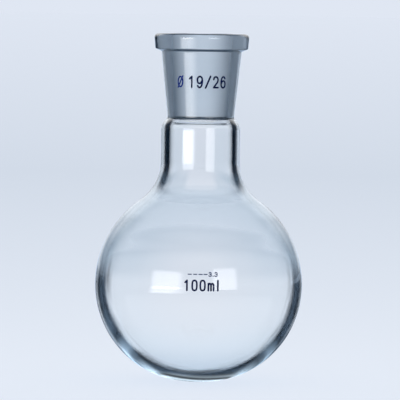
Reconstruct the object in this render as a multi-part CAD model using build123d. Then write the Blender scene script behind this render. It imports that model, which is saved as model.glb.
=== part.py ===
from build123d import *
import os
from math import acos, cos, radians, sin, sqrt, tan

# Round-bottom flask, 100 ml, with one neck that ends in a 19/26 ground-glass socket.
# Three pieces of borosilicate glass are sealed end to end in the flame: the blown bulb, the neck
# and the ground socket. Every piece is turned about Z, and the origin is the bulb's lowest point.
# All sizes are in millimetres and all angles in degrees.

# ---- Bulb: half a ball above its widest plane, and a slightly flatter bowl below it ----
bulb_diameter = 64.0        # outside
bulb_flattening = 1.8       # the bowl is this much shallower than half a ball
base_spread = 8.0           # the round base has a radius this much larger than the bulb's
bulb_wall = 2.1             # at the widest plane and all over the upper half
bulb_base_wall = 2.8        # at the lowest point, where the glass gathers
shoulder_radius = 14.0      # hollow sweep from the bulb up into the neck, outside
bulb_seal_land = 1.0        # straight neck left on the bulb below its seal

# ---- Ground socket: a standard taper of 1 in 10 on the diameter, nominal size 19/26 ----
joint_diameter = 18.8       # wide end of the ground zone, at the mouth
joint_length = 26.0         # length of the ground zone
joint_taper = 0.1           # change of diameter for each millimetre of length
socket_tail = 0.15          # clear glass between the seal and the ground zone
socket_wall = 2.18          # at the waist, the socket's narrowest place
socket_flare = 6.05         # half angle of the outside cone
seal_fillet = 1.0           # hollow where the socket meets the neck

# ---- Collar: the thick band round the mouth ----
collar_height = 4.7         # rim to lower edge
collar_overhang = 1.85      # the lower edge stands out this far past the socket's cone
collar_draft = 5.0          # the band narrows this much towards its lower edge
collar_slope = 22.0         # the underside runs down this much towards the socket
rim_round = 1.25            # outer edge of the rim
collar_round = 0.5          # lower edge of the band
collar_fillet = 0.6         # hollow between the underside and the socket
mouth_break = 0.3           # bevel between the ground zone and the rim

# ---- Neck: a short tube, drawn in at its crown to meet the socket ----
neck_straight = 9.0         # from the bulb's seal to the start of the crown
neck_wall = 2.2
crown_step = 1.92           # the neck's outside stands this far past the socket's waist
crown_radius = 4.0          # outside
crown_bore_radius = 2.2     # inside, where the bore starts to close in
lip_radius = 1.2            # inside, where the bore turns up into the socket

# ---- Radii that follow ----
bulb_radius = bulb_diameter / 2
bulb_bore = bulb_radius - bulb_wall
mouth_bore = joint_diameter / 2
tail_bore = mouth_bore - joint_taper * joint_length / 2
waist = tail_bore + socket_wall
neck_radius = waist + crown_step
neck_bore = neck_radius - neck_wall
# The shoulder's inner and outer sweeps share this distance from the axis, so its wall thickens
# steadily from the bulb's to the neck's.
shoulder_centre = neck_radius + shoulder_radius
shoulder_bore_radius = shoulder_radius + neck_wall


def leg(hypotenuse, other_leg):
    """The third side of a right triangle."""
    return sqrt(hypotenuse ** 2 - other_leg ** 2)


# ---- Levels that follow, from the bottom up ----
widest_level = bulb_radius - bulb_flattening
shoulder_level = widest_level + leg(bulb_radius + shoulder_radius, shoulder_centre)
shoulder_bore_level = widest_level + leg(bulb_bore + shoulder_bore_radius, shoulder_centre)
bulb_seal = shoulder_bore_level + bulb_seal_land
crown_level = bulb_seal + neck_straight
# The seal's fillet rolls on the crown and touches the waist, so the crown ends where they touch.
crown_centre = neck_radius - crown_radius
fillet_centre = waist + seal_fillet
fillet_level = crown_level + leg(crown_radius + seal_fillet, fillet_centre - crown_centre)
crown_share = crown_radius / (crown_radius + seal_fillet)
seal_radius = crown_centre + crown_share * (fillet_centre - crown_centre)
socket_seal = crown_level + crown_share * (fillet_level - crown_level)
ground_low = socket_seal + socket_tail
ground_high = ground_low + joint_length
rim_level = ground_high + mouth_break
collar_low = rim_level - collar_height


def turned(section):
    """The closed outline in the XZ plane, turned a full circle about Z."""
    return revolve(section.sketch, axis=Axis.Z)


def corner(section, radius, level):
    """The outline's corner nearest to this place, in the outline's own plane."""
    return section.vertices().sort_by_distance((radius, level, 0))[0]


def bowl(radius, lowest):
    """Radii of a bowl's round base and side, and the place where the two arcs touch.

    The side's arc is vertical at the widest plane and the base's is level on the axis, and they
    share a tangent where they touch.
    """
    base = radius + base_spread
    drop = base - (widest_level - lowest)
    inset = (drop ** 2 - base_spread ** 2) / (2 * base_spread)
    side = radius - inset
    reach = base / (base - side)
    return base, side, (reach * inset, lowest + base - reach * drop)


def bulb():
    """Blown body with the shoulder and the root of the neck; open at its seal."""
    touch = bulb_radius / (bulb_radius + shoulder_radius)
    shoulder_foot = (
        touch * shoulder_centre,
        widest_level + touch * (shoulder_level - widest_level),
    )
    bore_touch = bulb_bore / (bulb_bore + shoulder_bore_radius)
    bore_foot = (
        bore_touch * shoulder_centre,
        widest_level + bore_touch * (shoulder_bore_level - widest_level),
    )
    base, side, meet = bowl(bulb_radius, 0)
    bore_base, bore_side, bore_meet = bowl(bulb_bore, bulb_base_wall)
    with BuildSketch(Plane.XZ) as section:
        with BuildLine():
            RadiusArc((0, 0), meet, -base)
            RadiusArc(meet, (bulb_radius, widest_level), -side)
            RadiusArc((bulb_radius, widest_level), shoulder_foot, -bulb_radius)
            RadiusArc(shoulder_foot, (neck_radius, shoulder_level), shoulder_radius)
            Polyline(
                (neck_radius, shoulder_level),
                (neck_radius, bulb_seal),
                (neck_bore, bulb_seal),
                (neck_bore, shoulder_bore_level),
            )
            RadiusArc((neck_bore, shoulder_bore_level), bore_foot, -shoulder_bore_radius)
            RadiusArc(bore_foot, (bulb_bore, widest_level), bulb_bore)
            RadiusArc((bulb_bore, widest_level), bore_meet, bore_side)
            RadiusArc(bore_meet, (0, bulb_base_wall), bore_base)
            Line((0, bulb_base_wall), (0, 0))
        make_face()
    return turned(section)


def neck():
    """Tube between the two seals; its crown is drawn in to the socket's tail."""
    bend = acos(1 - (neck_bore - tail_bore) / (crown_bore_radius + lip_radius))
    bend_low = socket_seal - (crown_bore_radius + lip_radius) * sin(bend)
    inflection = (
        neck_bore - crown_bore_radius * (1 - cos(bend)),
        bend_low + crown_bore_radius * sin(bend),
    )
    with BuildSketch(Plane.XZ) as section:
        with BuildLine():
            Polyline((neck_bore, bend_low), (neck_bore, bulb_seal), (neck_radius, bulb_seal))
            Line((neck_radius, bulb_seal), (neck_radius, crown_level))
            RadiusArc((neck_radius, crown_level), (seal_radius, socket_seal), -crown_radius)
            Line((seal_radius, socket_seal), (tail_bore, socket_seal))
            RadiusArc((tail_bore, socket_seal), inflection, -lip_radius)
            RadiusArc(inflection, (neck_bore, bend_low), crown_bore_radius)
        make_face()
    return turned(section)


def ground_socket():
    """Tapered socket with its ground bore and the collar round the mouth."""
    flare = radians(socket_flare)
    fillet_end = (
        fillet_centre - seal_fillet * cos(flare),
        fillet_level + seal_fillet * sin(flare),
    )
    cone_top = fillet_end[0] + (collar_low - fillet_end[1]) * tan(flare)
    edge = cone_top + collar_overhang
    rim_edge = edge + collar_height * tan(radians(collar_draft))
    # The underside and the socket's cone are two straight lines, which cross at the root.
    slope = tan(radians(collar_slope))
    root = edge - collar_overhang / (1 - slope * tan(flare))
    root_level = collar_low - (edge - root) * slope
    with BuildSketch(Plane.XZ) as section:
        with BuildLine():
            RadiusArc((seal_radius, socket_seal), fillet_end, seal_fillet)
            Polyline(
                fillet_end,
                (root, root_level),
                (edge, collar_low),
                (rim_edge, rim_level),
                (mouth_bore + mouth_break, rim_level),
                (mouth_bore, ground_high),
                (tail_bore, ground_low),
                (tail_bore, socket_seal),
                (seal_radius, socket_seal),
            )
        make_face()
        fillet(corner(section, rim_edge, rim_level), rim_round)
        fillet(corner(section, edge, collar_low), collar_round)
        fillet(corner(section, root, root_level), collar_fillet)
    return turned(section)


pieces = {
    "bulb": bulb(),
    "neck": neck(),
    "ground_socket": ground_socket(),
}

os.makedirs("parts", exist_ok=True)
for name, piece in pieces.items():
    piece.label = name
    export_step(piece, f"parts/{name}.step")
    print(name, round(piece.volume, 1), "mm3")
print("height", round(rim_level, 2), "neck diameter", round(2 * neck_radius, 2))
print("seals at", round(bulb_seal, 2), "and", round(socket_seal, 2))
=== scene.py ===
# %% [markdown]
# # A round-bottom flask in clear glass
#
# The real object is a laboratory flask of borosilicate glass: a blown bulb, a short neck and a
# ground socket with a thick collar, sealed end to end in the flame. It holds 100 ml and its socket
# is the standard 19/26 taper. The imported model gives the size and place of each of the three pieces,
# and this script makes them again as fine glass, adds the blue enamel marks, and lights them.

# %% Load the frame
from math import acos, asin, atan2, cos, degrees, hypot, pi, radians, sin, sqrt, tan

import bpy
import numpy as np
from mathutils import Matrix, Vector


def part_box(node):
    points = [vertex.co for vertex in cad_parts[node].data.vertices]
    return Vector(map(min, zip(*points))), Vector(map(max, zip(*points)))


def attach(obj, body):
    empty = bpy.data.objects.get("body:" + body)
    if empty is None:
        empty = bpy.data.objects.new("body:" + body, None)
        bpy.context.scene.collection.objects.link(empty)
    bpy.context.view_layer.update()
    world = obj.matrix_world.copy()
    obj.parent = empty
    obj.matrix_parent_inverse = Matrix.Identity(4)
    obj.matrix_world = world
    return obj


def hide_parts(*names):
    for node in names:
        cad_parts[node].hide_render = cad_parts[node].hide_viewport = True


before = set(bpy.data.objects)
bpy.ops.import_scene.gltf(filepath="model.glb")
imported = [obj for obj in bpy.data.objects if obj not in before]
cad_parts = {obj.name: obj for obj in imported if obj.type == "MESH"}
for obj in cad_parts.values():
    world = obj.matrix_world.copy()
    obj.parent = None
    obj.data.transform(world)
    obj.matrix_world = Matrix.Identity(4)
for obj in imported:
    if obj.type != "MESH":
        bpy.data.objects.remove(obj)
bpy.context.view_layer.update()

# %% [markdown]
# ## Sizes
#
# Lengths are in millimetres and are turned to metres only where they go into a mesh. The outer
# sizes come from the frame's boxes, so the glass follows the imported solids. Walls and sweeps can't
# be read from a box, so they are stated here, as a glassblower's gauge would give them.

# %% Sizes of the glass
MM = 0.001


def box_mm(node):
    """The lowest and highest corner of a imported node, in millimetres."""
    return [np.array(corner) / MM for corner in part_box(node)]


LIFT = 0.012             # the enamel marks stand this proud of the glass, inside the bulb's box
BULB_R = box_mm("bulb")[1][0] - LIFT             # outside radius of the glass
LOWER_SEAL = box_mm("bulb")[1][2]                # where the neck is sealed on
NECK_R, _, UPPER_SEAL = box_mm("neck")[1]        # outside radius, and the height of the second
RIM = box_mm("ground_socket")[1][2]              # top of the collar

WALL = 2.1               # glass in the bulb
BASE_WALL = 2.8          # glass at the bulb's lowest point
NECK_WALL = 2.2
FLATTENING = 1.8         # the bowl below the widest plane is this much shallower than half a ball
SPREAD = 8.0             # the round base has a radius this much larger than the bulb's
SHOULDER_R = 14.0        # the hollow sweep from the bulb into the neck, outside
WIDEST = BULB_R - FLATTENING
NECK_BORE = NECK_R - NECK_WALL
print("bulb", BULB_R.round(2), "neck", NECK_R.round(2), "seals", LOWER_SEAL.round(2), UPPER_SEAL.round(2))

# %% [markdown]
# ## Outlines
#
# Every piece of this flask was turned in a lathe over a flame, so each is a body of revolution and
# needs only half an outline. Glass shows the least wobble in a surface, because light bends at it,
# so an outline is made of true arcs and straight lines and never of points drawn by hand.

# %% Arcs, straight lines and rounded corners
STEP = 0.7               # spacing of the points on an outline


def arc(centre, radius, start, stop, step=STEP):
    """Points of an arc: the centre plus the radius times (cosine, sine) of angles from start to
    stop, which are in degrees and evenly spaced."""
    count = max(6, int(abs(radians(stop - start)) * radius / step))
    angle = np.radians(np.linspace(start, stop, count + 1))
    return np.stack([centre[0] + radius * np.cos(angle), centre[1] + radius * np.sin(angle)], axis=1)


def straight(start, stop, step=STEP):
    """Evenly spaced points from start to stop: a blend of the two, with shares that add up to 1."""
    count = max(1, int(hypot(stop[0] - start[0], stop[1] - start[1]) / step))
    share = np.linspace(0, 1, count + 1)[:, None]
    return (1 - share) * np.array(start) + share * np.array(stop)


def joined(*parts):
    """Lines laid end to end, with the point that two of them share kept once."""
    return np.concatenate([parts[0]] + [part[1:] for part in parts[1:]])


def rounded(corners, radii, step=STEP):
    """A line through the corners, with an arc in place of each corner that has a radius.

    The arc's centre lies on the line that halves the corner, radius / sin(half the corner) from it,
    and the arc starts and stops radius / tan(half the corner) along each side."""
    corners = [np.array(corner, float) for corner in corners]
    parts, last = [], corners[0]
    for before, corner, after, radius in zip(corners, corners[1:], corners[2:], radii):
        a = (before - corner) / np.linalg.norm(before - corner)
        b = (after - corner) / np.linalg.norm(after - corner)
        half = acos(a @ b) / 2
        centre = corner + (a + b) / np.linalg.norm(a + b) * radius / sin(half)
        ends = [corner + side * radius / tan(half) - centre for side in (a, b)]
        start, stop = (degrees(atan2(end[1], end[0])) for end in ends)
        stop += 360 * round((start - stop) / 360)
        parts += [straight(last, centre + ends[0], step)]
        if radius:
            parts += [arc(centre, radius, start, stop, step / 3)]
        last = centre + ends[1]
    return joined(*parts, straight(last, corners[-1], step))


# %% [markdown]
# ## Turning an outline
#
# Blender's Screw modifier or a spin could turn an outline, but both leave a seam to be merged. A
# grid of angles and outline points closes by itself: the last column of faces simply meets the
# first. Each stretch of the outline has its own finish, and the edges between stretches, where the
# glass really has an edge, are marked sharp so that shading doesn't run over them.

# %% Grids that close on themselves
AROUND = 288             # columns of faces round the axis
SHARP = 25               # degrees of turn that make an edge in the outline a sharp one


def grid_faces(rings, around, loop, poles):
    """Vertex numbers of a grid's faces, and how many vertices each ring has.

    Face (i, j) joins ring i to ring i + 1 and column j to column j + 1. Columns always meet round
    the back. With loop, the last ring meets the first. With poles, the first and last ring are one
    point each, and their faces are triangles."""
    size = np.full(rings, around)
    if poles:
        size[[0, -1]] = 1
    first = np.cumsum(size) - size
    number = first[:, None] + np.where(size[:, None] == 1, 0, np.arange(around))
    upper = np.roll(number, -1, axis=0) if loop else number[1:]
    lower = number if loop else number[:-1]
    quads = np.stack([lower, np.roll(lower, -1, 1), np.roll(upper, -1, 1), upper], axis=-1)
    bands = [band for band in quads]
    if poles:
        bands[0] = bands[0][:, [0, 2, 3]]
        bands[-1] = bands[-1][:, [0, 1, 2]]
    return bands, size


def make_mesh(name, points, faces, slots, materials):
    """A mesh object from points in millimetres; slots holds one material number for each face."""
    mesh = bpy.data.meshes.new(name)
    mesh.from_pydata((np.asarray(points) * MM).tolist(), [], faces)
    mesh.polygons.foreach_set("use_smooth", np.ones(len(faces), bool))
    for material in materials:
        mesh.materials.append(material)
    mesh.polygons.foreach_set("material_index", np.asarray(slots, np.int32))
    piece = bpy.data.objects.new(name, mesh)
    bpy.context.scene.collection.objects.link(piece)
    return piece


def turned(name, stretches, materials, sway=None):
    """A piece of glass turned about Z.

    Point (i, j) is (r cos a, r sin a, z), with r and z from the outline and a an even angle. A
    stretch is (finish, line), and sway(r, z, a) gives how far the bore strays from true."""
    closed = np.allclose(stretches[0][1][0], stretches[-1][1][-1])
    line = joined(*[part for _, part in stretches])
    finish = np.concatenate([np.full(len(part) - 1, kind) for kind, part in stretches])
    if closed:
        line = line[:-1]
    rings = len(line)
    angle = np.linspace(0, 2 * pi, AROUND, endpoint=False)
    radius = np.repeat(line[:, :1], AROUND, axis=1)
    height = np.repeat(line[:, 1:], AROUND, axis=1)
    if sway:
        radius = radius + sway(radius, height, angle[None, :])
    points = np.stack([radius * np.cos(angle), radius * np.sin(angle), height], axis=-1)
    bands, size = grid_faces(rings, AROUND, closed, not closed)
    kept = np.arange(AROUND)[None, :] < size[:, None]
    faces = [face for band in bands for face in band.tolist()]
    slots = np.repeat(finish, AROUND)
    piece = make_mesh(name, points[kept], faces, slots, materials)
    # An edge that runs round the axis is sharp where the outline turns sharply.
    way = np.diff(np.vstack([line, line[:1]]) if closed else line, axis=0)
    way = way / np.linalg.norm(way, axis=1)[:, None]
    corner = np.zeros(rings, bool)
    turn = np.sum(way[1:] * way[:-1], axis=1) < cos(radians(SHARP))
    corner[1:len(turn) + 1] = turn
    if closed:
        corner[0] = way[0] @ way[-1] < cos(radians(SHARP))
    ring_of = np.repeat(np.arange(rings), size)
    ends = np.zeros(2 * len(piece.data.edges), np.int32)
    piece.data.edges.foreach_get("vertices", ends)
    a, b = ring_of[ends[0::2]], ring_of[ends[1::2]]
    sharp = piece.data.attributes.new("sharp_edge", "BOOLEAN", "EDGE")
    sharp.data.foreach_set("value", (a == b) & corner[a])
    print(name, len(points[kept]), "points,", len(faces), "faces,", int(corner.sum()), "sharp rings")
    return piece


# %% [markdown]
# ## Colours and nodes
#
# Colours are written in sRGB hex, and one function turns them to the linear values that Cycles
# works in. One more function adds a node to a material and wires it, so that a material reads as a
# list of what it is made of.

# %% Two helpers for materials
def colour(code):
    """Linear red, green, blue and 1 from an sRGB hex code: (c / 12.92) below 0.04045, and
    ((c + 0.055) / 1.055) to the power 2.4 above it."""
    srgb = np.array([int(code[i:i + 2], 16) for i in (1, 3, 5)]) / 255
    low, high = srgb / 12.92, ((srgb + 0.055) / 1.055) ** 2.4
    return (*np.where(srgb <= 0.04045, low, high).tolist(), 1.0)


def add(tree, kind, inputs=None, stops=None, **settings):
    """Adds a node: settings are its own options, and each input gets a value or another node's
    socket. stops are a colour ramp's (position, colour) pairs, the colour a hex code or linear."""
    node = tree.nodes.new("ShaderNode" + kind)
    for name, value in settings.items():
        setattr(node, name, value)
    for key, value in (inputs or {}).items():
        if isinstance(value, bpy.types.NodeSocket):
            tree.links.new(value, node.inputs[key])
        else:
            node.inputs[key].default_value = value
    if stops:
        marks = node.color_ramp.elements
        while len(marks) < len(stops):
            marks.new(0.5)
        for mark, (position, code) in zip(marks, stops):
            mark.position = position
            mark.color = colour(code) if isinstance(code, str) else code
    return node


def new_material(name):
    """An empty node material and its tree."""
    material = bpy.data.materials.new(name)
    material.use_nodes = True
    material.node_tree.nodes.clear()
    return material, material.node_tree


# %% [markdown]
# ## Borosilicate glass, fire-polished
#
# The tube and the bulb are drawn and blown, so flame has left them smooth to a wavelength. The
# index is 1.474. A real flask has dark edges: a hollow round wall turns light away from its axis, by
# more the nearer to the edge, up to the place where the bore mirrors it, and there the eye looks at
# the unlit sides of the room. A pale studio has no such sides, so painted shade stands in for them: a
# tint in the outer skin that darkens towards its edges. `bend` works out the turn from the wall and
# the index alone, and each zone of painted shade says how far off the line of sight the room is still
# light, where it is dark, and in what tone.

# %% Clear glass
GLASS_IOR = 1.474
SHADOW = "#FCFDFE"       # what one skin leaves of the light that passes on to the floor
WAVE = 14                # mm, size of the slow changes in the wall, which move the painted dark edge
STREAK = 12              # mm, size of the painted streaks in the bowl's painted dark edge


def for_lamps(tree, shader):
    """Sends a finished shader to the output, except that light on its way to another surface passes
    almost straight through, because Cycles can't follow it through refraction without noise. The
    hair's breadth of tint that it takes at each skin is the soft shadow on the floor."""
    path = add(tree, "LightPath")
    falling = {0: path.outputs["Is Shadow Ray"], 1: path.outputs["Is Diffuse Ray"]}
    falling = add(tree, "Math", falling, operation="MAXIMUM").outputs[0]
    through = add(tree, "BsdfTransparent", {"Color": colour(SHADOW)})
    mixed = add(tree, "MixShader", {0: falling, 1: shader, 2: through.outputs[0]})
    add(tree, "OutputMaterial", {"Surface": mixed.outputs[0]})


def clear_glass(name, bands, edge_stops=None):
    """Polished glass with painted shade: its tint follows how steeply it is seen, 0 is face on, 1 is edge on.

    bands is a list of (lowest height, highest height, ramp stops) in millimetres, bottom up, and
    between two bands their tints are blended. Round the neck and the socket the measure is 1 less
    the cosine of the angle round the axis: the cosine of the whole angle, divided by the level part
    of the normal. edge_stops are for surfaces that lean more than about 40 degrees. The shader takes
    the root of its base colour at every refraction, so the tint is multiplied by itself first.
    Light leaves the glass nearly square to it, so it takes the first stop, which stays pale."""
    material, tree = new_material(name)
    place = add(tree, "TexCoord")
    height = add(tree, "SeparateXYZ", {0: place.outputs["Object"]}).outputs["Z"]
    normal = add(tree, "NewGeometry").outputs["Normal"]
    steep = add(tree, "LayerWeight", {"Blend": 0.5}).outputs["Facing"]
    level = add(tree, "VectorMath", {0: normal, 1: (1, 1, 0)}, operation="MULTIPLY")
    level = add(tree, "VectorMath", {0: level.outputs[0]}, operation="LENGTH").outputs["Value"]
    facing = add(tree, "Math", {0: 1.0, 1: steep}, operation="SUBTRACT").outputs[0]
    round_axis = add(tree, "Math", {0: facing, 1: level}, operation="DIVIDE").outputs[0]
    round_axis = add(tree, "Math", {0: 1.0, 1: round_axis}, operation="SUBTRACT", use_clamp=True).outputs[0]
    on_neck = add(tree, "MapRange", {0: height, 1: 58.5 * MM, 2: 60.5 * MM}).outputs[0]
    measure = add(tree, "Mix", {0: on_neck, 2: steep, 3: round_axis}).outputs[0]
    # The wall is a little uneven, which moves the painted dark edge about, and on the left the painted shade starts
    # a little further in.
    noise = {"Vector": place.outputs["Object"], "Scale": 1 / (WAVE * MM), "Detail": 1.0}
    wall = add(tree, "TexNoise", noise).outputs["Fac"]
    uneven = add(tree, "Math", {0: wall, 1: 0.03, 2: -0.015}, operation="MULTIPLY_ADD").outputs[0]
    measure = add(tree, "Math", {0: measure, 1: uneven}, operation="ADD").outputs[0]
    to_left = add(tree, "SeparateXYZ", {0: normal}).outputs["X"]
    darker_side = add(tree, "MapRange", {0: height, 1: 7 * MM, 2: 10 * MM, 4: -0.02}).outputs[0]
    measure = add(tree, "Math", {0: to_left, 1: darker_side, 2: measure}, operation="MULTIPLY_ADD").outputs[0]
    # Painted shade: each band's ramp darkens the skin towards its edges, in place of the unlit room.
    top, tint = bands[0][1], add(tree, "ValToRGB", {0: measure}, stops=bands[0][2]).outputs[0]
    for low, high, stops in bands[1:]:
        between = {0: height, 1: top * MM, 2: low * MM}
        share = add(tree, "MapRange", between, interpolation_type="SMOOTHSTEP").outputs[0]
        above = add(tree, "ValToRGB", {0: measure}, stops=stops).outputs[0]
        tint = add(tree, "Mix", {0: share, 6: tint, 7: above}, data_type="RGBA").outputs[2]
        top = high
    # Painted streaks run through the painted dark edge of the bowl, where the light is bent most.
    shifted = add(tree, "Math", {0: measure, 1: WAVE * STREAK * MM}, operation="MULTIPLY").outputs[0]
    noise = {"Vector": place.outputs["Object"], "W": shifted, "Scale": 1 / (STREAK * MM), "Detail": 1.0}
    shade_streaks = add(tree, "TexNoise", noise, noise_dimensions="4D")
    gain = add(tree, "MapRange", {0: shade_streaks.outputs["Fac"], 1: 0.3, 2: 0.7, 3: 0.5, 4: 1.6}).outputs[0]
    at_edge = add(tree, "ValToRGB", {0: measure}, stops=[
        (0.46, "#000000"), (0.56, "#FFFFFF"), (0.80, "#FFFFFF"), (0.88, "#000000")]).outputs[0]
    on_bowl = add(tree, "MapRange", {0: height, 1: 42 * MM, 2: 34 * MM}).outputs[0]
    at_edge = add(tree, "Math", {0: at_edge, 1: on_bowl}, operation="MULTIPLY").outputs[0]
    gain = add(tree, "Mix", {0: at_edge, 2: 1.0, 3: gain}).outputs[0]
    tint = add(tree, "VectorMath", {0: tint, "Scale": gain}, operation="SCALE").outputs[0]
    # Painted shade on surfaces that lean: a dark tone towards their edges.
    if edge_stops:
        leaning = add(tree, "MapRange", {0: level, 1: 0.85, 2: 0.6}, interpolation_type="SMOOTHSTEP").outputs[0]
        edge = add(tree, "ValToRGB", {0: steep}, stops=edge_stops).outputs[0]
        tint = add(tree, "Mix", {0: leaning, 6: tint, 7: edge}, data_type="RGBA").outputs[2]
    twice = add(tree, "Mix", {0: 1.0, 6: tint, 7: tint}, data_type="RGBA", blend_type="MULTIPLY")
    glass = add(tree, "BsdfPrincipled", {
        "Base Color": twice.outputs[2], "Roughness": 0.0, "IOR": GLASS_IOR, "Transmission Weight": 1.0,
    })
    for_lamps(tree, glass.outputs[0])
    return material


def bend(steep, bore):
    """Degrees by which a hollow round wall turns light away from its axis, from how steeply the
    wall is seen, 0 face on to 1 edge on, and from its bore as a share of its radius.

    The outer skin turns the light towards the axis, by twice the difference of the angles in air
    and in glass. The bore turns it away by twice such a difference of its own or, where it mirrors
    the light, by half a circle less twice the angle in the glass."""
    across = sqrt(1 - (1 - steep) ** 2)
    in_glass = degrees(asin(across / (GLASS_IOR * bore)))
    if across < bore:
        at_bore = 2 * (degrees(asin(across / bore)) - in_glass)
    else:
        at_bore = 180 - 2 * in_glass
    return at_bore - 2 * (degrees(asin(across)) - degrees(asin(across / GLASS_IOR)))


def ring(bore, veil, dark, light_to, dark_from):
    """Ramp stops of painted shade for a wall in a room that is light up to one angle off the line of
    sight and dark from another on. The wall itself takes a thin veil as soon as it leans."""
    angles = (0, 3, light_to, dark_from)
    tones = np.array([colour(code) for code in ("#FFFFFF", veil, veil, dark)])
    mirror_edge = 1 - sqrt(1 - bore ** 2)
    stops = [(0.02, "#FFFFFF")]
    for steep in sorted([*np.linspace(0.06, 0.96, 19).tolist(), mirror_edge]):
        turned_by = bend(steep, bore)
        stops.append((steep, tuple(float(np.interp(turned_by, angles, tones[:, c])) for c in range(4))))
    return stops


BALL = (BULB_R - WALL) / BULB_R          # bore as a share of the radius
TUBE = (NECK_R - NECK_WALL) / NECK_R
for name, bore in (("ball", BALL), ("tube", TUBE)):
    print("a", name, "turns light by up to", round(bend(1 - sqrt(1 - bore ** 2), bore)), "degrees")

# Painted shade, zone by zone: the dark tones stand in for the unlit room seen through the bent glass, and the upper
# ball's paler one for light from above.
flask_glass = clear_glass("borosilicate_flask", [
    (-1, 3, ring(BALL, "#F0F6FA", "#506070", 8, 20)),      # over the foot
    (9, 12, ring(BALL, "#F8FCFE", "#101C2C", 9, 19)),      # the bowl's dark crescent
    (20, 30, ring(BALL, "#FCFEFF", "#46525E", 8, 18)),     # the sides
    (41, 50, ring(BALL, "#F0F5F8", "#B8C4CC", 6, 18)),     # the upper ball, lit from above
    (53, 57.5, ring(BALL, "#F0F5F8", "#E0E8EC", 9, 20)),   # the shoulder's foot
    (62, 63, ring(TUBE, "#EEF3F6", "#4A5864", 10, 30)),     # the sweep
    (66, 90, ring(TUBE, "#FAFCFD", "#101E2C", 14, 32)),    # the neck
])
# Painted shade for the socket: behind its glass stands the matt bore, painted lit face on, in shade
# round the sides, and gone at the very edge, where the light passes outside it. The collar's thick
# edge is clear, with a painted dark tone.
SHADE = "#8C96A0"
socket_glass = clear_glass("borosilicate_socket", [
    (60, 82, [(0.3, "#505A64"), (0.7, "#A0AAB4")]),
    (82.5, 102.8, [(0.0, "#FFFFFF"), (0.35, SHADE), (0.6, SHADE), (0.85, "#F4F6F8")]),
    (103.2, 110, [(0.0, "#FFFFFF"), (0.25, "#A0AAB4"), (0.55, "#A0AAB4"), (0.78, "#606C78")]),
], [(0.25, "#FFFFFF"), (0.4, "#505E6C")])

inner_glass, tree = new_material("borosilicate_bore")
glass = add(tree, "BsdfPrincipled", {"Roughness": 0.0, "IOR": GLASS_IOR, "Transmission Weight": 1.0,
                                     "Base Color": (1, 1, 1, 1)})
for_lamps(tree, glass.outputs[0])

# %% [markdown]
# ## The two flame seals
#
# Where two pieces were melted together there is no surface left between them. Each piece is still a
# closed body here, so the two faces of a seal are there, and their finish lets light pass straight
# through. The wall then reads as one run of glass, as it does on the real flask.

# %% Fused seal
fused_seal, tree = new_material("fused_seal")
nothing = add(tree, "BsdfTransparent")
add(tree, "OutputMaterial", {"Surface": nothing.outputs[0]})

# %% [markdown]
# ## The ground bore
#
# The socket is ground with wet grit until a standard cone seats in it, and a ground surface
# scatters light both ways: it looks matt and grey-blue through the clear glass outside. Part of the
# light passes in a wide cone, part comes back as from plaster. The grit's marks are about 0.05 mm
# apart, which is too fine to show here, so the grain is drawn at 0.2 mm.

# %% Ground glass
GRAIN = 0.2              # mm between the marks, four times the real grit
ground_glass, tree = new_material("ground_glass_bore")
place = add(tree, "TexCoord")
grain = add(tree, "TexNoise", {"Vector": place.outputs["Object"], "Scale": 1 / (GRAIN * MM), "Detail": 2.0})
bump = add(tree, "Bump", {"Height": grain.outputs["Fac"], "Strength": 0.25, "Distance": 0.03 * MM})
matt = add(tree, "BsdfPrincipled", {
    "Base Color": colour("#D0DBE5"), "Roughness": 0.6, "IOR": GLASS_IOR, "Transmission Weight": 0.75,
    "Normal": bump.outputs[0],
})
for_lamps(tree, matt.outputs[0])

# %% [markdown]
# ## The bulb
#
# The bulb is blown into a mould: half a ball above its widest plane, a slightly flatter bowl below
# it, and a hollow sweep up into the neck. The same line, drawn with a smaller radius, makes the
# inside, so the wall is even at the sides and a little thicker at the base, where glass gathers.

# %% The bulb's two skins
def bulb_line(radius, lowest, sweep):
    """From the lowest point to the neck: the base's arc, the side's arc, the upper ball and the
    sweep, each tangent to the next. The base's and side's centres lie on the line through the
    place where they touch."""
    base = radius + SPREAD
    drop = base - (WIDEST - lowest)
    inset = (drop ** 2 - SPREAD ** 2) / (2 * SPREAD)
    meet = degrees(atan2(-drop, inset))
    sweep_centre = NECK_R + SHOULDER_R
    rise = sqrt((radius + sweep) ** 2 - sweep_centre ** 2)
    lean = degrees(atan2(rise, sweep_centre))
    return joined(
        arc((0, lowest + base), base, -90, meet),
        arc((inset, WIDEST), radius - inset, meet, 0),
        arc((0, WIDEST), radius, 0, lean),
        arc((sweep_centre, WIDEST + rise), sweep, 180 + lean, 180),
        straight((sweep_centre - sweep, WIDEST + rise), (sweep_centre - sweep, LOWER_SEAL)),
    )


def blown(r, z, a):
    """How far the blown bore strays from true, in millimetres: three slow waves round the axis and
    up it, which die out towards the base's pole and the seal."""
    away = np.clip(r / 12, 0, 1) * np.clip((LOWER_SEAL - z) / 12, 0, 1)
    wave = np.sin(2 * a + 0.21 * z) + 0.8 * np.sin(3 * a - 0.34 * z + 1.0) + 0.9 * np.sin(0.83 * z + np.sin(a))
    return 0.02 * away * wave


outside = bulb_line(BULB_R, 0, SHOULDER_R)
inside = bulb_line(BULB_R - WALL, BASE_WALL, SHOULDER_R + NECK_WALL)
outside[0, 0] = inside[0, 0] = 0
bulb = turned("flask_bulb", [
    (0, outside),
    (2, straight(outside[-1], inside[-1])),
    (1, inside[::-1]),
], [flask_glass, inner_glass, fused_seal],
    sway=lambda r, z, a: np.where(np.arange(len(r))[:, None] >= len(outside) + 1, blown(r, z, a), 0))
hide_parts("bulb")
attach(bulb, "root")

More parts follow.
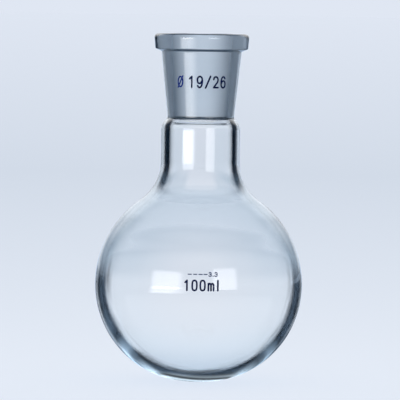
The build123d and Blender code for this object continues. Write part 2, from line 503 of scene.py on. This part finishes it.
# %% [markdown]
# ## The neck
#
# A short length of tube. Its upper end, the crown, was drawn in on the flame to meet the socket's
# narrow tail, and the bore makes an S of two arcs there.

# %% The neck
CROWN_R = 4.0            # outside arc of the crown
SEAL_FILLET = 1.0        # hollow between the crown and the socket
CROWN_STEP = 1.92        # the neck stands this far past the socket's waist
CROWN_BORE_R = 2.2       # inside, where the bore starts to close in
LIP_R = 1.2              # inside, where it turns up into the socket
TAIL_BORE = 8.1          # radius at the small end of the ground cone

WAIST = NECK_R - CROWN_STEP
crown_tilt = degrees(acos((WAIST + SEAL_FILLET - NECK_R + CROWN_R) / (CROWN_R + SEAL_FILLET)))
crown_level = UPPER_SEAL - CROWN_R * sin(radians(crown_tilt))
bore_tilt = degrees(acos(1 - (NECK_BORE - TAIL_BORE) / (CROWN_BORE_R + LIP_R)))
bore_level = UPPER_SEAL - (CROWN_BORE_R + LIP_R) * sin(radians(bore_tilt))
FINE = 0.25              # closer points where the sweeps are small

crown = arc((NECK_R - CROWN_R, crown_level), CROWN_R, 0, crown_tilt, FINE)
throat = joined(
    arc((TAIL_BORE + LIP_R, UPPER_SEAL), LIP_R, 180, 180 + bore_tilt, FINE),
    arc((NECK_BORE - CROWN_BORE_R, bore_level), CROWN_BORE_R, bore_tilt, 0, FINE),
)
neck = turned("flask_neck", [
    (0, joined(straight((NECK_R, LOWER_SEAL), (NECK_R, crown_level)), crown)),
    (2, straight(crown[-1], throat[0])),
    (1, joined(throat, straight(throat[-1], (NECK_BORE, LOWER_SEAL)))),
    (2, straight((NECK_BORE, LOWER_SEAL), (NECK_R, LOWER_SEAL))),
], [flask_glass, inner_glass, fused_seal])
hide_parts("neck")
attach(neck, "root")
print("crown starts at", round(crown_level, 2), "and tilts", round(crown_tilt, 1), "degrees")

# %% [markdown]
# ## The ground socket
#
# A cone outside, the standard 1 in 10 taper inside, and a thick collar rolled round the mouth. The
# collar's underside runs down into the cone, its rim is well rounded, and a small bevel breaks the
# edge between the ground cone and the rim's flat top.

# %% The ground socket
JOINT_R = 9.4            # radius of the ground cone at the mouth
JOINT_LENGTH = 26.0
FLARE = 6.05             # half angle of the outside cone, in degrees
COLLAR_HEIGHT = 4.7
COLLAR_OVERHANG = 1.85
COLLAR_DRAFT = 5.0       # the band leans in this much towards its lower edge, in degrees
COLLAR_SLOPE = 22.0      # and its underside runs down this much towards the cone
MOUTH_BREAK = 0.3

ground_high = RIM - MOUTH_BREAK
ground_low = ground_high - JOINT_LENGTH
hollow_centre = (WAIST + SEAL_FILLET, crown_level + (CROWN_R + SEAL_FILLET) * sin(radians(crown_tilt)))
hollow = arc(hollow_centre, SEAL_FILLET, 180 + crown_tilt, 180 - FLARE, FINE)
flare, slope = tan(radians(FLARE)), tan(radians(COLLAR_SLOPE))
collar_low = RIM - COLLAR_HEIGHT
cone_top = hollow[-1][0] + (collar_low - hollow[-1][1]) * flare
edge = cone_top + COLLAR_OVERHANG
root = edge - COLLAR_OVERHANG / (1 - slope * flare)
band_top = edge + COLLAR_HEIGHT * tan(radians(COLLAR_DRAFT))
collar = rounded(
    [hollow[-1], (root, collar_low - (edge - root) * slope), (edge, collar_low), (band_top, RIM),
     (JOINT_R + MOUTH_BREAK, RIM)],
    [0.6, 0.5, 1.25],
    step=0.4,
)
socket = turned("flask_ground_socket", [
    (0, joined(hollow, collar)),
    (0, straight((JOINT_R + MOUTH_BREAK, RIM), (JOINT_R, ground_high))),
    (3, straight((JOINT_R, ground_high), (TAIL_BORE, ground_low), 0.4)),
    (1, straight((TAIL_BORE, ground_low), (TAIL_BORE, UPPER_SEAL))),
    (2, straight((TAIL_BORE, UPPER_SEAL), hollow[0])),
], [socket_glass, inner_glass, fused_seal, ground_glass])
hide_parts("ground_socket")
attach(socket, "root")
print("collar from", round(collar_low, 2), "to", round(RIM, 2), "mm up, edge radius", round(edge, 2))

# %% [markdown]
# ## The enamel marks
#
# The joint's size and the volume are printed in blue enamel through a screen and fired on. A font
# would do, but these marks are drawn with a pen of one width, so each figure is a few strokes: a
# smooth line through given points, carried by a flat oval section that lies on the glass.

# %% Strokes of a pen
def smooth(points, loop=False, samples=7):
    """A line through the points: on each span the Catmull-Rom blend of the four nearest ones, which
    is a cubic in the share of the span that is covered."""
    p = np.array(points, float)
    if len(p) == 2:
        return straight(p[0], p[1], 0.05)
    p = np.vstack([p[-1:], p, p[:2]]) if loop else np.vstack([2 * p[:1] - p[1:2], p, 2 * p[-1:] - p[-2:-1]])
    t = np.linspace(0, 1, samples, endpoint=False)[None, :, None]
    a, b, c, d = (p[k:len(p) - 3 + k, None, :] for k in range(4))
    line = b + t * (c - a) / 2 + t ** 2 * (a - 2.5 * b + 2 * c - d / 2) + t ** 3 * (1.5 * (b - c) + (d - a) / 2)
    line = line.reshape(-1, 2)
    return line if loop else np.vstack([line, p[-2:-1]])


def oval(corner=0.72, count=20):
    """A narrow nought: cosine and sine, each raised to a power below 1 so that the sides are
    nearly straight, in a box 1 wide and 1 high."""
    turn = np.linspace(0, 2 * pi, count, endpoint=False)
    x, y = np.cos(turn), np.sin(turn)
    return np.stack([0.5 + 0.5 * np.sign(x) * abs(x) ** corner, 0.5 + 0.5 * np.sign(y) * abs(y) ** corner], axis=1)


six = np.array([
    (0.93, 0.84), (0.78, 0.96), (0.50, 1.00), (0.20, 0.88), (0.03, 0.62), (0.00, 0.33), (0.10, 0.10), (0.36, 0.00),
    (0.64, 0.00), (0.92, 0.12), (1.00, 0.32), (0.90, 0.52), (0.62, 0.62), (0.32, 0.58), (0.04, 0.38),
])
arch = np.array([(0.0, 0.46), (0.08, 0.63), (0.25, 0.70), (0.42, 0.64), (0.5, 0.46), (0.5, 0.22), (0.5, 0.0)])
# Each figure is a list of (points, loop) in a box 1 wide and 1 high.
figures = {
    "0": [(oval(), True)],
    "1": [([(0.66, 1.0), (0.66, 0.0)], False), ([(0.66, 1.0), (0.20, 0.80)], False)],
    "2": [
        ([(0.03, 0.76), (0.16, 0.93), (0.48, 1.0), (0.82, 0.92), (0.97, 0.72), (0.84, 0.50),
          (0.42, 0.24), (0.02, 0.0)], False),
        ([(0.02, 0.0), (1.0, 0.0)], False),
    ],
    "3": [
        ([(0.04, 0.84), (0.22, 0.97), (0.52, 1.0), (0.86, 0.90), (0.90, 0.70), (0.70, 0.55), (0.40, 0.52)], False),
        ([(0.40, 0.52), (0.76, 0.48), (0.98, 0.30), (0.88, 0.09), (0.52, 0.0), (0.20, 0.03), (0.0, 0.17)], False),
    ],
    "6": [(six, False)],
    "9": [(1 - six, False)],
    "/": [([(0.0, -0.04), (1.0, 1.04)], False)],
    "m": [([(0.0, 0.70), (0.0, 0.0)], False), (arch, False), (arch + (0.5, 0), False)],
    "l": [([(0.5, 1.0), (0.5, 0.0)], False)],
    ".": [([(0.5, 0.0), (0.5, 0.08)], False)],
    "-": [([(0.0, 0.5), (1.0, 0.5)], False)],
    "diameter": [(oval(1.0), True), ([(0.0, -0.06), (1.0, 1.06)], False)],
}

# %% Printing on a round surface
def pen_line(line, loop, width, radius_at, section=10):
    """A stroke's points and faces on a surface of revolution.

    The section is an oval, the pen's width across and LIFT high: a point is the line's point plus
    half the width times a cosine along the line's normal, at a radius raised by a sine. Past a free
    end the oval shrinks as a half circle does. The distance across the front, divided by the
    radius there, is the angle round the axis."""
    step = (np.roll(line, -1, 0) - np.roll(line, 1, 0)) if loop else np.gradient(line, axis=0)
    way = step / np.linalg.norm(step, axis=1)[:, None]
    scale = np.ones(len(line))
    if not loop:
        cap = np.radians([90, 67.5, 45, 22.5])
        reach = width / 2 * np.sin(cap)[:, None]
        line = np.vstack([line[0] - way[0] * reach, line, line[-1] + way[-1] * reach[::-1]])
        way = np.vstack([np.repeat(way[:1], 4, 0), way, np.repeat(way[-1:], 4, 0)])
        scale = np.concatenate([np.cos(cap), scale, np.cos(cap)[::-1]])
    normal = np.stack([-way[:, 1], way[:, 0]], axis=1)
    turn = np.linspace(0, 2 * pi, section, endpoint=False)
    across = scale[:, None] * np.cos(turn) * width / 2
    u = line[:, :1] + normal[:, :1] * across
    z = line[:, 1:] + normal[:, 1:] * across
    surface = radius_at(z)
    radius = surface + scale[:, None] * np.sin(turn) * LIFT
    points = np.stack([radius * np.sin(u / surface), -radius * np.cos(u / surface), z], axis=-1)
    bands, size = grid_faces(len(line), section, loop, not loop)
    kept = np.arange(section)[None, :] < size[:, None]
    return points[kept], [face for band in bands for face in band.tolist()]


def printed(name, signs, radius_at, material):
    """One piece of enamel; a sign is (figure, centre across, foot, width, height, pen's width)."""
    points, faces, count = [], [], 0
    for figure, centre, foot, width, height, pen in signs:
        for corners, loop in figures[figure]:
            line = smooth(np.array(corners) * (width, height) + (centre - width / 2, foot), loop)
            some, joins = pen_line(line, loop, pen, radius_at)
            points.append(some)
            faces += [[count + number for number in face] for face in joins]
            count += len(some)
    piece = make_mesh(name, np.concatenate(points), faces, np.zeros(len(faces)), [material])
    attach(piece, "root")
    print(name, len(faces), "faces")
    return piece


# %% [markdown]
# ## Blue enamel
#
# Ceramic enamel is coloured glass powder. Fired on, it is opaque, a dark navy, smooth but not quite
# glossy, and slightly uneven in depth where the screen left more or less of it.

# %% Enamel
def ceramic_enamel(name, thin, thick, cloud):
    """Matt opaque enamel: its colour runs between the thin and the thick one in clouds of a size
    in millimetres."""
    material, tree = new_material(name)
    place = add(tree, "TexCoord")
    depth = add(tree, "TexNoise", {"Vector": place.outputs["Object"], "Scale": 1 / (cloud * MM), "Detail": 3.0})
    depth = add(tree, "ValToRGB", {0: depth.outputs["Fac"]}, stops=[(0.35, thick), (0.65, thin)])
    ink = add(tree, "BsdfPrincipled", {"Base Color": depth.outputs[0], "Roughness": 0.7, "Specular IOR Level": 0.05})
    add(tree, "OutputMaterial", {"Surface": ink.outputs[0]})
    return material


navy = ceramic_enamel("navy_ceramic_enamel", "#081C50", "#02102E", 0.6)
cobalt = ceramic_enamel("cobalt_ceramic_enamel", "#1E3C8C", "#0A1C60", 0.6)
slate = ceramic_enamel("slate_ceramic_enamel", "#3A4C72", "#22345A", 0.3)

# %% The marks on the socket and the bulb
def cone_radius(z):
    """Radius of the socket's outside cone at a height."""
    return hollow[-1][0] + (z - hollow[-1][1]) * flare


def ball_radius(z):
    """Radius of the bulb's outside at a height, read along its outline."""
    return np.interp(z, outside[:, 1], outside[:, 0])


size_signs = [(figure, across, 91.3, 1.5, 3.3, 0.53)
              for figure, across in zip("19/26", (-3.2, -0.45, 2.1, 4.6, 7.15))]
printed("joint_size_mark", size_signs, cone_radius, navy)
printed("joint_sign_mark", [("diameter", -6.8, 91.45, 1.7, 3.1, 0.46)], cone_radius, cobalt)

volume_signs = [(figure, across, 30.3, width, 3.0, 0.54) for figure, across, width in (
    ("1", -3.7, 1.2), ("0", -1.2, 1.4), ("0", 1.25, 1.4), ("m", 3.8, 1.6), ("l", 5.9, 1.0))]
printed("volume_mark", volume_signs, ball_radius, navy)

dashes = [("-", across, 1.0) for across in (-2.7, -1.05, 0.6, 2.1)]
figures_33 = [("3", 3.5, 0.75), (".", 4.4, 0.3), ("3", 5.3, 0.75)]
grade_signs = [(figure, across, 34.6, width, 1.13, 0.3) for figure, across, width in dashes + figures_33]
printed("expansion_mark", grade_signs, ball_radius, slate)

# %% [markdown]
# ## The floor and the light
#
# A studio sweep: a pale blue-white floor that runs far back, a little deeper in tone at the middle
# distance. Its colour follows r / (r + 1.4 m), which is how far up the picture a place on the floor
# appears to a low camera 1.4 m away, so the tones spread evenly.
#
# The glass mirrors another table than the eye sees: for mirrored rays the floor glows with a painted
# reflection of a dark table with a light zone beside the bowl, fine rings close to its foot, and light
# cards standing far behind. These painted reflections show in the glass alone.

# %% The floor
FLOOR_R = 40.0           # metres
EYE = 1.4                # metres from the flask to the camera

def mirror_only(tree):
    """1 for a ray that a surface has just mirrored. A ray that glass has bent counts as glossy too,
    so the transmission flag is taken off."""
    path = add(tree, "LightPath")
    flags = {0: path.outputs["Is Glossy Ray"], 1: path.outputs["Is Transmission Ray"]}
    return add(tree, "Math", flags, operation="SUBTRACT", use_clamp=True).outputs[0]


floor_paper, tree = new_material("pale_sweep")
place = add(tree, "TexCoord")
reach = add(tree, "VectorMath", {0: place.outputs["Object"]}, operation="LENGTH")
longer = add(tree, "Math", {0: reach.outputs["Value"], 1: EYE}, operation="ADD")
share = add(tree, "Math", {0: reach.outputs["Value"], 1: longer.outputs[0]}, operation="DIVIDE")
tone = add(tree, "ValToRGB", {0: share.outputs[0]}, stops=[(0.0, "#E6EDF8"), (0.55, "#D2DBE8"), (1.0, "#E0E7F3")])
paper = add(tree, "BsdfPrincipled", {"Base Color": tone.outputs[0], "Roughness": 1.0, "Specular IOR Level": 0.0})
radius = reach.outputs["Value"]
side = add(tree, "SeparateXYZ", {0: place.outputs["Object"]})
round_it = add(tree, "TexGradient", {"Vector": place.outputs["Object"]}, gradient_type="RADIAL").outputs["Fac"]
# Painted reflection close to the flask: a light zone beside the bowl, and fine dark and light rings
# round the foot, which are a little longer from side to side and lie off the axis by 2 mm.
oval = {0: place.outputs["Object"], 1: (0.75, 1, 1), 2: (1.5 * MM, 0, 0)}
ring = add(tree, "VectorMath", oval, operation="MULTIPLY_ADD")
ring = add(tree, "VectorMath", {0: ring.outputs[0]}, operation="LENGTH").outputs["Value"]
rings = add(tree, "MapRange", {0: ring, 1: 0.015, 2: 0.0}).outputs[0]
foot = add(tree, "ValToRGB", {0: rings}, stops=[
    (0.15, "#585858"), (0.28, "#D8D8D8"), (0.41, "#101010"), (0.55, "#FFFFFF"), (0.75, "#989898")])
ahead = add(tree, "MapRange", {0: side.outputs["Y"], 1: -0.015, 2: 0.015}).outputs[0]
beside = add(tree, "ValToRGB", {0: ahead}, stops=[(0.1, "#383C40"), (0.25, "#60686F"), (0.4, "#F0F8FF")])
off_foot = add(tree, "MapRange", {0: radius, 1: 0.0120, 2: 0.0145}).outputs[0]
near = add(tree, "Mix", {0: off_foot, 6: foot.outputs[0], 7: beside.outputs[0]}, data_type="RGBA").outputs[2]
close = add(tree, "ValToRGB", {0: radius}, stops=[
    (0.016, "#FFFFFF"), (0.025, "#60686F"), (0.032, "#F0F8FF"),
    (0.045, "#484E54"), (0.06, "#606870"), (0.12, "#181C20")])
near = add(tree, "VectorMath", {0: near, 1: close.outputs[0]}, operation="MULTIPLY").outputs[0]
# The painted reflection near the flask is brighter on the left and tinted blue.
to_right = add(tree, "MapRange", {0: side.outputs["X"], 1: -0.018, 2: 0.018, 3: 1.35, 4: 0.8}).outputs[0]
near = add(tree, "VectorMath", {0: near, "Scale": to_right}, operation="SCALE").outputs[0]
near = add(tree, "VectorMath", {0: near, 1: (0.78, 0.96, 1.12)}, operation="MULTIPLY").outputs[0]
# Painted reflection far off: dark to the sides, with a light strip straight behind and a pale card behind on the
# right.
PAINTED_CARD = "#8894A4"
back = add(tree, "ValToRGB", {0: round_it}, stops=[
    (0.58, "#000000"), (0.60, PAINTED_CARD), (0.67, PAINTED_CARD), (0.69, "#000000"),
    (0.72, "#90A0B4"), (0.78, "#90A0B4"), (0.81, "#000000")])
far = add(tree, "MapRange", {0: radius, 1: 1.0, 2: 1.1}).outputs[0]
painted_card_mask = add(tree, "MapRange", {0: round_it, 1: 0.69, 2: 0.72}).outputs[0]
shown_back = add(tree, "Math", {0: far, 1: painted_card_mask}, operation="MAXIMUM").outputs[0]
behind = add(tree, "VectorMath", {0: back.outputs[0], "Scale": shown_back}, operation="SCALE").outputs[0]
# Painted light in front of the flask, as far as the socket's own image of it.
front = add(tree, "MapRange", {0: side.outputs["Y"], 1: -0.014, 2: -0.026, 4: 0.3}).outputs[0]
front_end = add(tree, "MapRange", {0: radius, 1: 0.24, 2: 0.16}).outputs[0]
front = add(tree, "Math", {0: front, 1: front_end}, operation="MULTIPLY").outputs[0]
# The socket's cone looks down on a painted reflection of the left lamp on the table: a glowing strip.
lamp_side = add(tree, "ValToRGB", {0: round_it}, stops=[
    (0.095, "#000000"), (0.115, "#FFFFFF"), (0.165, "#FFFFFF"), (0.22, "#000000")]).outputs[0]
lamp_reach = add(tree, "MapRange", {0: radius, 1: 0.24, 2: 0.29, 4: 3.0}).outputs[0]
image = add(tree, "VectorMath", {0: lamp_side, "Scale": lamp_reach}, operation="SCALE").outputs[0]
mirrored = add(tree, "VectorMath", {0: behind, 1: near}, operation="ADD").outputs[0]
mirrored = add(tree, "VectorMath", {0: mirrored, 1: image}, operation="ADD").outputs[0]
mirrored = add(tree, "VectorMath", {0: mirrored, 1: front}, operation="ADD").outputs[0]
mirrored = add(tree, "VectorMath", {0: mirrored, 1: (0.012, 0.014, 0.017)}, operation="ADD").outputs[0]
# The floor glows with these painted reflections for mirrored rays alone; the eye sees plain paper.
painted_reflection = add(tree, "Emission", {"Color": mirrored, "Strength": 2.0})
laid = add(tree, "MixShader", {0: mirror_only(tree), 1: paper.outputs[0], 2: painted_reflection.outputs[0]})
add(tree, "OutputMaterial", {"Surface": laid.outputs[0]})

EDGES = 96
turn = np.linspace(0, 2 * pi, EDGES, endpoint=False)
floor = bpy.data.meshes.new("floor")
outline = np.stack([FLOOR_R * np.cos(turn), FLOOR_R * np.sin(turn), 0 * turn], axis=1)
floor.from_pydata(outline.tolist(), [], [list(range(EDGES))])
floor.materials.append(floor_paper)
floor = bpy.data.objects.new("floor", floor)
bpy.context.scene.collection.objects.link(floor)

# %% The sky over it
world = bpy.data.worlds.new("studio")
world.use_nodes = True
bpy.context.scene.world = world
tree = world.node_tree
tree.nodes.clear()
place = add(tree, "TexCoord")
way = add(tree, "SeparateXYZ", {0: place.outputs["Generated"]})
above = add(tree, "ValToRGB", {0: way.outputs["Z"]}, stops=[(0.0, "#E0E7F3"), (0.10, "#DCE4F0"), (0.5, "#C8D2E0")])
path = add(tree, "LightPath")
seen = {0: path.outputs["Is Camera Ray"], 1: path.outputs["Is Transmission Ray"]}
seen = add(tree, "Math", seen, operation="MAXIMUM")
shown = add(tree, "Mix", {0: seen.outputs[0], 6: (1, 1, 1, 1), 7: above.outputs[0]}, data_type="RGBA")
# Mirrored rays see grey walls, paler behind the flask, with a soft window high up behind it.
cards = add(tree, "ValToRGB", {0: way.outputs["Y"]}, stops=[(0.88, "#767D86"), (0.96, "#E8EEF6")])
high = add(tree, "MapRange", {0: way.outputs["Z"], 1: 0.12, 2: 0.22, 4: 0.6}).outputs[0]
behind = add(tree, "MapRange", {0: way.outputs["Y"], 1: 0.84, 2: 0.91}).outputs[0]
window = add(tree, "Math", {0: high, 1: behind}, operation="MULTIPLY").outputs[0]
cards = add(tree, "VectorMath", {0: cards.outputs[0], 1: window}, operation="ADD").outputs[0]
mirrored = add(tree, "Mix", {0: mirror_only(tree), 6: shown.outputs[2], 7: cards}, data_type="RGBA")
sky = add(tree, "Background", {"Color": mirrored.outputs[2], "Strength": 1.0})
add(tree, "OutputWorld", {"Surface": sky.outputs[0]})

# %% [markdown]
# ## The lamps
#
# Two softboxes in front show as the two windows on the bulb and the neck, and two dim strips high
# up behind light the shoulders. Cloth in front of a lamp fades to its sides. The eye sees none of
# them: they show in the glass alone.

# %% Lamps that the glass mirrors
MIDDLE = Vector((0, 0, 0.05))            # the lamps point here, half way up the flask


def softbox(name, azimuth, elevation, half_width, half_height, radiance,
            distance=0.7, soft=0.3, soft_sides=0.3, roll=0):
    """A rectangular lamp round the flask: azimuth 0 is in front, positive to the right, and its
    half sizes are angles. Power is pi times area times radiance. The light fades over the outer
    share of each half size, soft of the height and soft_sides of the width, as a cloth does."""
    width, height = 2 * distance * tan(radians(half_width)), 2 * distance * tan(radians(half_height))
    lamp = bpy.data.lights.new(name, "AREA")
    lamp.shape, lamp.size, lamp.size_y = "RECTANGLE", width, height
    lamp.energy = pi * width * height * radiance
    lamp.use_nodes = True
    tree = lamp.node_tree
    tree.nodes.clear()
    place = add(tree, "TexCoord")
    side = add(tree, "SeparateXYZ", {0: place.outputs["UV"]})
    fades = []
    for axis, fade in (("X", soft_sides), ("Y", soft)):
        off = add(tree, "Math", {0: side.outputs[axis], 1: 0.5}, operation="SUBTRACT")
        far = add(tree, "Math", {0: off.outputs[0]}, operation="ABSOLUTE")
        fall = {0: far.outputs[0], 1: 0.5, 2: 0.5 - fade / 2}
        fades.append(add(tree, "MapRange", fall, interpolation_type="SMOOTHSTEP"))
    both = add(tree, "Math", {0: fades[0].outputs[0], 1: fades[1].outputs[0]}, operation="MULTIPLY")
    cloth = add(tree, "Emission", {"Strength": both.outputs[0]})
    add(tree, "OutputLight", {"Surface": cloth.outputs[0]})
    a, e = radians(azimuth), radians(elevation)
    back = Vector((sin(a) * cos(e), -cos(a) * cos(e), sin(e)))
    stand = bpy.data.objects.new(name, lamp)
    stand.matrix_world = (Matrix.Translation(MIDDLE + distance * back)
                          @ back.to_track_quat("Z", "Y").to_matrix().to_4x4()
                          @ Matrix.Rotation(radians(roll), 4, "Z"))
    stand.visible_camera = stand.visible_transmission = stand.visible_diffuse = False
    bpy.context.scene.collection.objects.link(stand)
    print(name, round(width, 2), "by", round(height, 2), "m,", round(lamp.energy, 1), "W")


softbox("softbox_left", -35.5, 2.7, 20.5, 13.5, 5.4, soft_sides=0.45)
softbox("softbox_right", 29, 5, 16, 15.5, 4.8, soft_sides=0.4)
softbox("strip_rear_left", -147, 28, 20, 20, 1.7, distance=1, soft=0.8, soft_sides=0.8, roll=52)
softbox("strip_rear_right", 146, 27, 20, 20, 1.5, distance=1, soft=0.8, soft_sides=0.8, roll=-52)

# %% [markdown]
# ## The camera
#
# A long lens from a little above the rim, 1.4 m away. The flask leans a hair to the right in the
# picture, so the camera is rolled rather than the glass.

# %% The camera
FIELD = 0.1237           # metres across the picture, at the flask
LOOK = 2.5               # degrees down
ROLL = 0.79
AIM = Vector((0.0001, 0, 0.0563))

camera = bpy.data.objects.new("camera", bpy.data.cameras.new("camera"))
camera.data.lens = camera.data.sensor_width * EYE / FIELD
camera.data.clip_start, camera.data.clip_end = 0.1, 200
back = Vector((0, -cos(radians(LOOK)), sin(radians(LOOK))))
camera.matrix_world = (Matrix.Translation(AIM + EYE * back) @ back.to_track_quat("Z", "Y").to_matrix().to_4x4()
                       @ Matrix.Rotation(radians(ROLL), 4, "Z"))
bpy.context.scene.collection.objects.link(camera)
bpy.context.scene.camera = camera
bpy.context.scene.view_settings.view_transform = "Standard"
print("lens", round(camera.data.lens), "mm")
